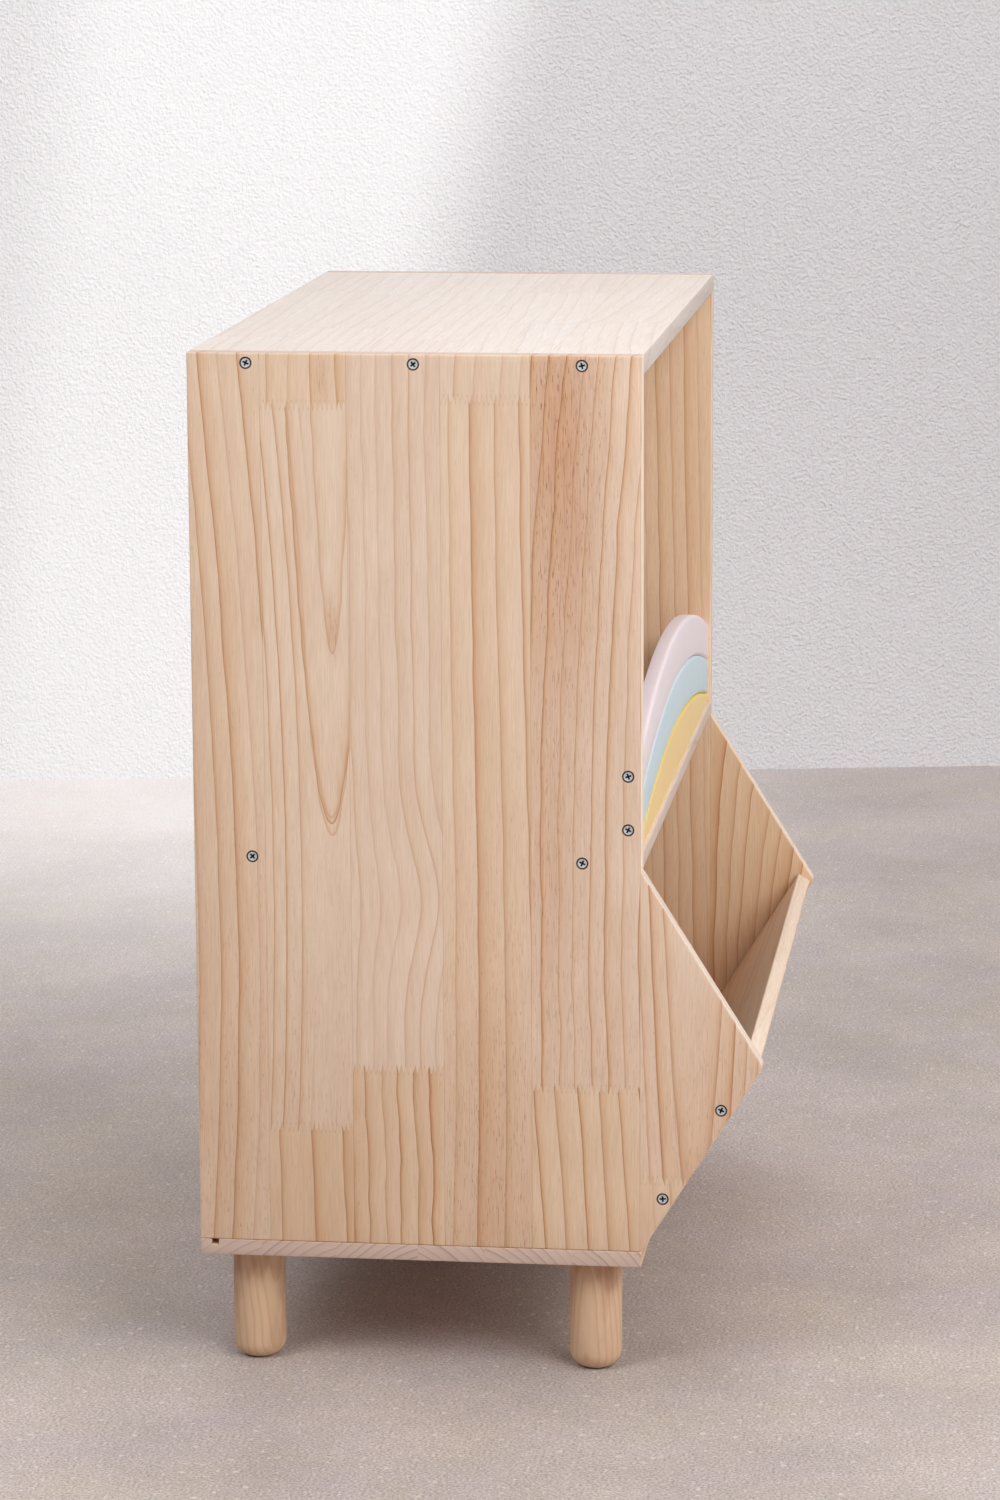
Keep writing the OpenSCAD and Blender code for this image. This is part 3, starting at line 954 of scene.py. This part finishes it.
class CABINET_OT_side_panels(PieceOperator, bpy.types.Operator):
    """Builds the two side panels with their noses and countersunk holes"""
    bl_idname = "cabinet.side_panels"
    bl_label = "Side panels"

    def execute(self, context):
        sizes = context.scene.cabinet_sizes
        outline = cabinet_outline(sizes.tip_round)
        for side, board, compartment_shade in (("left", left_board(), 0), ("right", right_board(), 0.5)):
            low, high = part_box(f"{side}_side_panel")
            mesh = finished_mesh(prism(outline, low.x, high.x, sizes.board_round), "panel")
            rows = [f"{side}_{row}_screws" for row in SCREW_ROWS]
            new_piece(f"{side}_panel", sunk_for_screws(mesh, rows, f"{side}_panel"),
                      f"{side}_side_panel", "side_pine",
                      pine(f"{side} side pine", board, compartment_shade=compartment_shade, edge=0.6),
                      sink_shade_wood(f"{side} side sinks"))
        return {"FINISHED"}


class CABINET_OT_level_boards(PieceOperator, bpy.types.Operator):
    """Builds the top, the shelf and the base board with its open groove"""
    bl_idname = "cabinet.level_boards"
    bl_label = "Top, shelf and base"

    def execute(self, context):
        sizes = context.scene.cabinet_sizes
        top_stock = random_board(5, 0, 1, DEPTH_SPAN, WIDTH_SPAN, middle_of("top_panel"), stave=67,
                                 length=300, tone=0.15, line=1.3, arches=0)
        new_piece("top_board", plain_board("top", top_low, top_high, sizes.board_round * 0.6),
                  "top_panel", "top_pine", pine("top pine", top_stock, paleness=0.70))

        shelf_stock = random_board(8, 0, 1, DEPTH_SPAN, WIDTH_SPAN, middle_of("shelf"), stave=60)
        new_piece("shelf_board", plain_board("shelf", shelf_low, shelf_high, sizes.board_round),
                  "shelf", "shelf_pine", pine("shelf pine", shelf_stock, paleness=0.4))

        back = (back_low.y + back_high.y + sizes.groove_width) / 2
        front = back - sizes.groove_width
        floor = base_high.z - sizes.groove_depth
        outline = [
            (base_low.y, base_low.z), (base_high.y, base_low.z), (base_high.y, base_high.z),
            (back, base_high.z), (back, floor), (front, floor), (front, base_high.z),
            (base_low.y, base_high.z),
        ]
        base = prism(outline, base_low.x, base_high.x, sizes.board_round * 0.5)
        rows = [f"{side}_base_screws" for side in ("left", "right")]
        new_piece("base_board", sunk_for_screws(finished_mesh(base, "base"), rows, "base"),
                  "base_panel", "base_pine", pine("base pine", base_pieces()),
                  sink_shade_wood("base sinks"))
        return {"FINISHED"}


class CABINET_OT_bin_front(PieceOperator, bpy.types.Operator):
    """Builds the bin's leaning front, cut flat where it stands on the base board"""
    bl_idname = "cabinet.bin_front"
    bl_label = "Bin front"

    def execute(self, context):
        sizes = context.scene.cabinet_sizes
        up, behind = slant(sizes.tip_round)
        outer, inner = sizes.bin_setback, sizes.bin_setback + BOARD_T
        # The upper edge is square to the face; its inner corner is the model's highest point
        top = (bin_high.z - BASE_TOP - inner * behind.y) / up.y
        outline = []
        for along, deep in ((-outer * behind.y / up.y, outer), (-inner * behind.y / up.y, inner),
                            (top, inner), (top, outer)):
            point = up * along + behind * deep
            outline.append((FRONT_Y + point.x, BASE_TOP + point.y))
        mesh = finished_mesh(prism(outline, bin_low.x, bin_high.x, sizes.board_round), "bin_front")
        stock = random_board(31, 0, 2, BIN_SPAN, WIDTH_SPAN, middle_of("bin_front_panel"), stave=75,
                             tone=0, warm=0.95, line=0.8)
        new_piece("bin_front", mesh, "bin_front_panel", "bin_pine",
                  pine("bin pine", stock, compartment_shade=0.3, edge=0.45))
        return {"FINISHED"}


def veneer(name):
    """The back panel's plywood: a wide rotary-cut figure and layers at its edges."""
    colours = bpy.context.scene.cabinet_colours
    nodes = Nodes(name)
    x, y, z = nodes.place()
    warp = nodes.noise(x * 0.012, z * 0.0022, 3, detail=3)
    figure = (warp * 9 + x * 0.004).fraction()
    bands = figure.zigzag(0.5).ramp_up(0.30, 0.5)
    fibre = nodes.noise(x * 1.4, y, z * 0.03, 1.0, 3, 0.6)
    wood = nodes.mix(bands * 0.30, colours.ply_wood, colours.late_wood)
    wood = nodes.tinted(wood, fibre.remap(0.25, 0.75, 0.93, 1.05))
    return nodes.surface(wood, fibre.remap(0, 1, 0.55, 0.68), fibre, 0.08 * MM, 0.5, gloss=0.3)


class CABINET_OT_back_panel(PieceOperator, bpy.types.Operator):
    """Builds the plywood back panel, which stands in the base board's groove"""
    bl_idname = "cabinet.back_panel"
    bl_label = "Back panel"

    def execute(self, context):
        new_piece("back_board", plain_board("back", back_low, back_high, BACK_ROUND),
                  "back_panel", "back_plywood", veneer("back plywood"))
        return {"FINISHED"}


class Arc(NamedTuple):
    """An arc over the middle of the cabinet, by its crown's height and its end's height."""
    crown: float
    end: float

    def height(self, x):
        rise = self.crown - self.end
        radius = (rise * rise + HALF_IN * HALF_IN) / (2 * rise)
        return self.crown - radius + math.sqrt(radius * radius - x * x)


def upper_arc(node):
    """The arc of an arch's upper edge, down to where it meets the side panels."""
    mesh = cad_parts[node].data
    edge = max(vertex.co.x for vertex in mesh.vertices) - TOLERANCE
    end = max(vertex.co.z for vertex in mesh.vertices if vertex.co.x > edge)
    return Arc(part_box(node)[1].z, end)


def arch_mesh(name, low, high, upper, lower, front_round):
    """An arched board between two arcs, its section drawn anew at each step across."""
    shape = bmesh.new()
    front, back = low.y + front_round, high.y - ARCH_BACK_ROUND
    quarter = math.pi / 2
    rows = []
    for i in range(ARCH_STEPS + 1):
        x = low.x + (high.x - low.x) * i / ARCH_STEPS
        top = upper.height(x)
        section = corner((front, top - front_round), front_round, math.pi, -quarter)
        section += corner((back, top - ARCH_BACK_ROUND), ARCH_BACK_ROUND, quarter, -quarter, 3)
        if lower:
            bottom = lower.height(x)
            section += corner((back, bottom + ARCH_BACK_ROUND), ARCH_BACK_ROUND, 0, -quarter, 3)
            section += corner((front, bottom + front_round), front_round, -quarter, -quarter)
        else:
            section += [(high.y, low.z), (low.y, low.z)]
        rows.append([shape.verts.new((x, y, z)) for y, z in section])
    skin(shape, rows)
    return finished_mesh(shape, name)


def paint(name, colour, rim):
    """Matt paint on wood: a faint grain and brush texture, and denser paint on the edges."""
    nodes = Nodes(name)
    x, y, z = nodes.place()
    grain = nodes.noise(x * 0.05, y, z, 1.1, 3, 0.6)
    mottle = nodes.noise(x, y, z, 0.03, 2)
    peel = nodes.noise(x, y, z, 1.6, 2)
    painted = nodes.mix(nodes.facing(1).ramp_up(0.80, 0.98), rim, colour)
    painted = nodes.tinted(painted, (grain * 0.5 + mottle * 0.5).remap(0.2, 0.8, 0.965, 1.03))
    return nodes.surface(painted, peel.remap(0, 1, 0.38, 0.52), grain * 0.6 + peel * 0.5,
                         0.10 * MM, 0.5)


class CABINET_OT_rainbow(PieceOperator, bpy.types.Operator):
    """Builds the rainbow's three nested arches"""
    bl_idname = "cabinet.rainbow"
    bl_label = "Rainbow"

    def execute(self, context):
        colours = context.scene.cabinet_colours
        arches = (
            ("outer", "pink_paint", colours.pink, colours.pink),
            ("middle", "mint_paint", colours.blue, colours.blue),
            ("inner", "yellow_paint", colours.yellow, colours.yellow_rim),
        )
        uppers = [upper_arc(f"rainbow_{key}_arch") for key, *_ in arches]
        # Each arch stands on the next one, and the inner arch has a straight lower edge
        lowers = [Arc(upper.crown + ARCH_GAP, upper.end + ARCH_GAP) for upper in uppers[1:]] + [None]
        for (key, slot, colour, rim), upper, lower in zip(arches, uppers, lowers):
            node = f"rainbow_{key}_arch"
            mesh = arch_mesh(f"{key}_arch", *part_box(node), upper, lower,
                             context.scene.cabinet_sizes.arch_round)
            new_piece(f"{key}_arch", mesh, node, slot, paint(slot.replace("_", " "), colour, rim))
        return {"FINISHED"}


def leg_wood(name, pith, lean, ring):
    """A leg turned from one stick: rings cut lengthwise, and its own offset in the log."""
    colours = bpy.context.scene.cabinet_colours
    nodes = Nodes(name)
    x, y, z = nodes.place()
    side, deep = x - pith.x, y - pith.y
    sway = nodes.noise(x * 0.03, y * 0.03, z * 0.012)
    radius = (side * side + deep * deep).sqrt() + z * lean + sway * 9
    part = (radius / ring).fraction()
    late = part.ramp_up(0.4, 0.92) * (1 - part.ramp_up(0.92, 1.0))
    fibre = nodes.noise(x * 1.5, y * 1.5, z * 0.04, 1.0, 3, 0.6)
    wood = nodes.mix(late * 0.26, colours.leg_wood, colours.late_wood)
    # Blotches that grow towards the leg's top: worn, dirty spots and painted shade under the base
    # board
    blotch = nodes.noise(x, y, z * 0.35, 0.05, 3).ramp_up(0.47, 0.66)
    wood = nodes.mix(blotch * z.remap(20, 100, 0.25, 0.85), wood, WORN_AND_SHADED_WOOD)
    wood = nodes.shaded(wood, fibre.remap(0.25, 0.75, 0.93, 1.05))
    wood = nodes.mix(nodes.facing(2).ramp_up(0.75, 1.0) * 0.5, wood, colours.end_wood)
    return nodes.surface(wood, fibre.remap(0, 1, 0.46, 0.6), late * 0.4 + fibre, 0.08 * MM, 0.5,
                         gloss=0.4)


class CABINET_OT_legs(PieceOperator, bpy.types.Operator):
    """Builds the four turned legs with their rounded lower edges"""
    bl_idname = "cabinet.legs"
    bl_label = "Legs"

    def execute(self, context):
        quarter = math.pi / 2
        for i, side in enumerate(("front_left", "front_right", "back_left", "back_right")):
            node = f"{side}_leg"
            low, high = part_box(node)
            middle = (low + high) / 2
            radius = (high.x - low.x) / 2
            edge = min(context.scene.cabinet_sizes.leg_round, radius * 0.9)
            profile = [(0, 0), *corner((radius - edge, edge), edge, -quarter, quarter, 12),
                       *corner((radius - LEG_RIM, high.z - LEG_RIM), LEG_RIM, 0, quarter, 3),
                       (0, high.z)]
            shape = lathe(profile, LEG_SIDES)
            shape.transform(Matrix.Translation((middle.x, middle.y, low.z)))
            chance = random.Random(40 + i)
            away = chance.uniform(0, 2 * math.pi)
            pith = middle + LEG_PITH * Vector((math.cos(away), math.sin(away), 0))
            wood = leg_wood(f"{side.replace('_', ' ')} leg wood", pith / MM,
                            lean=chance.uniform(-0.12, 0.12), ring=chance.uniform(5, 9))
            new_piece(f"turned_{node}", finished_mesh(shape, node), node, "leg_wood", wood)
        return {"FINISHED"}


def plated_steel(name, colour):
    """Zinc plating, a little dulled, with fine turning marks and specks."""
    nodes = Nodes(name)
    place = nodes.place()
    metal = nodes.tinted(colour, nodes.noise(*place, 0.9, 3).remap(0.2, 0.8, 0.85, 1.08))
    speck = nodes.noise(*place, 6.0, 2)
    return nodes.surface(metal, speck.remap(0.2, 0.8, 0.40, 0.54), speck, 0.03 * MM, 0.4, metal=1)


def screw_mesh(sizes, length):
    """A countersunk screw with a cross recess, its head's face on Z = 0 and its point up."""
    head, shank = sizes.head_width / 2, sizes.shank_width / 2
    rim, face, dish = 0.9 * MM, head - 0.6 * MM, 0.28 * MM
    profile = [(0, dish), (face * 0.6, dish * 0.5), (face, 0), (face + 0.15 * MM, 0.1 * MM),
               (head, rim), (shank, rim + head - shank), (shank, length - SCREW_TIP), (0, length)]
    body = finished_mesh(lathe(profile, SCREW_SIDES), "screw")
    cross = bmesh.new()
    half, arm = sizes.recess_width / 2, 0.68 * MM
    rows = []
    for z, reach, width in ((-0.5 * MM, half * 1.15, arm * 1.1), (2 * MM, half * 0.35, arm * 0.7)):
        points = []
        for quarter in range(4):
            turned = Matrix.Rotation(quarter * math.pi / 2, 3, "Z")
            points += [cross.verts.new(turned @ Vector((x, y, z)))
                       for x, y in ((reach, width), (width, width), (width, reach))]
        rows.append(points)
    skin(cross, rows)
    screw = cut(body, plain_mesh(cross, "cross"), "screw")
    # Faces other than the head's flat face take the dark zinc: painted shade in the recess and on
    # the rim
    for face in screw.polygons:
        on_face = face.center.z < 0.95 * dish and face.normal.z < -0.9
        face.material_index = 0 if on_face else 1
    return screw


class CABINET_OT_screws(PieceOperator, bpy.types.Operator):
    """Builds the countersunk screws in both sides, each turned by its own angle"""
    bl_idname = "cabinet.screws"
    bl_label = "Screws"

    def execute(self, context):
        sizes = context.scene.cabinet_sizes
        colours = context.scene.cabinet_colours
        single = screw_mesh(sizes, screw_high.x - screw_low.x)
        steel = plated_steel("zinc plating", colours.zinc)
        shaded_steel = plated_steel("shaded zinc", colours.shaded_zinc)
        for row in [f"{side}_{row}" for side in ("left", "right") for row in SCREW_ROWS]:
            joined = bmesh.new()
            for place in screw_places(f"{row}_screws"):
                copy = single.copy()
                copy.transform(place @ Matrix.Translation((0, 0, sizes.head_sunk)))
                joined.from_mesh(copy)
                bpy.data.meshes.remove(copy)
            new_piece(f"{row}_row", finished_mesh(joined, row), f"{row}_screws", "zinc_steel",
                      steel, shaded_steel)
        for node in ("leg_bolts", "leg_inserts"):
            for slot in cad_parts[node].material_slots:
                slot.material = steel
        return {"FINISHED"}


# The room

CAMERA_PLACE = Vector((-3.75033, -0.44136, 1.14748))
CAMERA_AZIMUTH = math.radians(-82.9388)
CAMERA_ELEVATION = math.radians(10.9089)
CAMERA_ROLL = math.radians(-0.2438)
CAMERA_LENS = 114.34
WALL_LEFT = Vector((1.904, 0.857, 0))
WALL_RIGHT = Vector((2.114, -0.319, 0))
ROOM_HALF = 8
WALL_HALF_H = 2.5
UP = Vector((0, 0, 1))
# Each lamp's name, place, width and power in watts
LAMPS = (
    ("key", (-2.7, -1.9, 2.6), 1.8, 63),
    ("front", (-1.0, -3.0, 2.4), 1.8, 41),
    ("fill", (-3.4, -2.6, 0.9), 1.8, 12.5),
    ("window", (-2.3, 1.8, 2.9), 1.8, 50),
    ("ceiling", (0.6, 0.0, 3.4), 2.0, 36),
    ("overhead", (-0.5, -1.4, 3.4), 2.4, 9.5),
)


def camera_axes():
    """The camera's right, up and back directions."""
    flat = math.cos(CAMERA_ELEVATION)
    back = Vector((math.sin(CAMERA_AZIMUTH) * flat, -math.cos(CAMERA_AZIMUTH) * flat,
                   math.sin(CAMERA_ELEVATION)))
    level = UP.cross(back).normalized()
    rise = back.cross(level)
    cos, sin = math.cos(CAMERA_ROLL), math.sin(CAMERA_ROLL)
    return level * cos + rise * sin, rise * cos - level * sin, back


def add_camera():
    """The photograph's viewpoint."""
    lens = bpy.data.cameras.new("camera")
    lens.lens = CAMERA_LENS
    lens.sensor_width = 36
    lens.clip_start = 0.1
    lens.clip_end = 50
    camera = bpy.data.objects.new("camera", lens)
    camera.matrix_world = (Matrix.Translation(CAMERA_PLACE)
                           @ Matrix(camera_axes()).transposed().to_4x4())
    bpy.context.scene.collection.objects.link(camera)
    bpy.context.scene.camera = camera


def plane(name, centre, along, up, half_along, half_up, material):
    """A flat sheet between two directions."""
    mesh = bpy.data.meshes.new(name)
    points = [centre + along * half_along * s + up * half_up * t
              for s, t in ((-1, -1), (1, -1), (1, 1), (-1, 1))]
    mesh.from_pydata(points, [], [(0, 1, 2, 3)])
    mesh.materials.append(material)
    sheet = bpy.data.objects.new(name, mesh)
    bpy.context.scene.collection.objects.link(sheet)


def seen_directly(nodes):
    """1 for what the camera sees, itself or in metal and glass, and 0 for what lights a surface."""
    camera, glossy, clear = (nodes.add("LightPath", output=f"Is {ray} Ray")
                             for ray in ("Camera", "Glossy", "Transmission"))
    return camera.at_least(glossy).at_least(clear)


def daylight(nodes, brightness):
    """Daylight that is only seen, so that it lights nothing."""
    nodes.put(nodes.shader.inputs["Emission Color"], (1, 1, 1))
    nodes.put(nodes.shader.inputs["Emission Strength"], brightness * seen_directly(nodes))


def plaster(name, colour):
    """A rough white wall, with a soft slanting bar of daylight across its left half."""
    nodes = Nodes(name)
    x, y, z = nodes.place()
    cloud = nodes.noise(x, y, z, 0.004, 3)
    stipple = nodes.noise(x, y, z, 0.27, 1)
    shade = cloud.remap(0.3, 0.7, 0.98, 1.01) * stipple.remap(0.3, 0.7, 0.97, 1.02)

    down = 950 - z
    right_edge = y - (down * 0.27 + 255)
    left_edge = y - (down * 0.15 + 790)
    bar = right_edge.ramp_up(-85, 85) * 0.28 - left_edge.ramp_up(-90, 70) * 0.13
    beside = y.ramp_up(-450, 350) * 0.05
    low_down = down.ramp_up(350, 1000) * 0.05
    daylight(nodes, bar + beside + low_down)
    nodes.one_sided()
    return nodes.surface(nodes.tinted(colour, shade), cloud.remap(0, 1, 0.7, 0.85), stipple,
                         3 * MM, 1.0, gloss=0.2)


def concrete(name, colour):
    """A ground concrete floor: warm and cool clouds, fine sand and pale grit."""
    nodes = Nodes(name)
    x, y, z = nodes.place()
    cloud = nodes.noise(x, y, z, 0.005, 5, 0.6)
    warmth = nodes.noise(y, x, 40, 0.012, 3)
    sand = nodes.noise(x, y, z, 0.42, 2, 0.7)
    patch = nodes.noise(x, y, z, 0.06, 3, 0.6)
    grit = nodes.noise(x, y, z, 0.16, 0).ramp_up(0.71, 0.80)
    pits = nodes.noise(y, x, 70, 0.30, 1).ramp_up(0.64, 0.76)
    shade = (cloud.remap(0.3, 0.7, 0.87, 1.12) * sand.remap(0.3, 0.7, 0.64, 1.34)
             * patch.remap(0.3, 0.7, 0.95, 1.05))
    cool = shade * warmth.remap(0.3, 0.7, 0.96, 1.06)
    tone = nodes.mix(1.0, colour, nodes.combine(shade, shade, cool), "MULTIPLY")
    tone = nodes.mix(pits * 0.5, tone, FLOOR_PITS)
    tone = nodes.mix(grit * 0.55, tone, FLOOR_GRIT)

    far = x.ramp_up(350, 2000) * y.ramp_up(-250, 650)
    by_wall = x.ramp_up(900, 2100) * 0.05
    away = (x * x + y * y).sqrt().ramp_up(2200, 5000) * 0.45
    daylight(nodes, far * 0.42 + (away + by_wall))
    nodes.one_sided()
    return nodes.surface(tone, cloud.remap(0, 1, 0.5, 0.7), sand, 1.0 * MM, 0.6, gloss=0.25)


def add_lamp(name, place, target, width, power):
    """A soft square lamp that shines at a point."""
    data = bpy.data.lights.new(name, "AREA")
    data.shape = "RECTANGLE"
    data.size = data.size_y = width
    data.energy = power
    lamp = bpy.data.objects.new(name, data)
    lamp.location = place
    lamp.rotation_mode = "QUATERNION"
    lamp.rotation_quaternion = (Vector(place) - target).to_track_quat("Z", "Y")
    bpy.context.scene.collection.objects.link(lamp)


class CABINET_OT_stage(PieceOperator, bpy.types.Operator):
    """Sets up the floor, the wall, the lamps and the camera"""
    bl_idname = "cabinet.stage"
    bl_label = "Stage"

    def execute(self, context):
        scene = context.scene
        colours = scene.cabinet_colours
        add_camera()
        plane("floor", Vector((0, 0, 0)), Vector((1, 0, 0)), Vector((0, 1, 0)), ROOM_HALF, ROOM_HALF,
              concrete("concrete floor", colours.floor))
        plane("wall", (WALL_LEFT + WALL_RIGHT) / 2 + UP * WALL_HALF_H,
              (WALL_RIGHT - WALL_LEFT).normalized(), UP, ROOM_HALF, WALL_HALF_H,
              plaster("wall plaster", colours.wall))
        for name, place, width, power in LAMPS:
            add_lamp(name, place, (cad_box[0] + cad_box[1]) / 2, width, power)
        scene.world = bpy.data.worlds.new("room")
        room = Nodes("room", scene.world)
        room.put(room.shader.inputs["Color"], (0.95, 0.97, 1))
        room.put(room.shader.inputs["Strength"], seen_directly(room) * 0.65 + 0.05)
        scene.view_settings.view_transform = "Standard"
        return {"FINISHED"}


class CABINET_PT_build(bpy.types.Panel):
    """Lists the cabinet's pieces, each with the button that builds it"""
    bl_idname = "CABINET_PT_build"
    bl_label = "Storage cabinet"
    bl_space_type = "VIEW_3D"
    bl_region_type = "UI"
    bl_category = "Cabinet"

    def draw(self, context):
        layout = self.layout
        scene = context.scene
        for operator in OPERATORS:
            layout.operator(operator.bl_idname)
        for group in (scene.cabinet_sizes, scene.cabinet_colours):
            column = layout.column()
            for name in group.__annotations__:
                column.prop(group, name)


OPERATORS = (
    CABINET_OT_side_panels,
    CABINET_OT_level_boards,
    CABINET_OT_bin_front,
    CABINET_OT_back_panel,
    CABINET_OT_rainbow,
    CABINET_OT_legs,
    CABINET_OT_screws,
    CABINET_OT_stage,
)
CLASSES = (CabinetSizes, CabinetColours, *OPERATORS, CABINET_PT_build)


def register():
    for item in CLASSES:
        bpy.utils.register_class(item)
    bpy.types.Scene.cabinet_sizes = bpy.props.PointerProperty(type=CabinetSizes)
    bpy.types.Scene.cabinet_colours = bpy.props.PointerProperty(type=CabinetColours)


def unregister():
    del bpy.types.Scene.cabinet_colours
    del bpy.types.Scene.cabinet_sizes
    for item in reversed(CLASSES):
        bpy.utils.unregister_class(item)


def main():
    register()
    for operator in OPERATORS:
        group, name = operator.bl_idname.split(".")
        getattr(getattr(bpy.ops, group), name)()


if __name__ == "__main__":
    main()
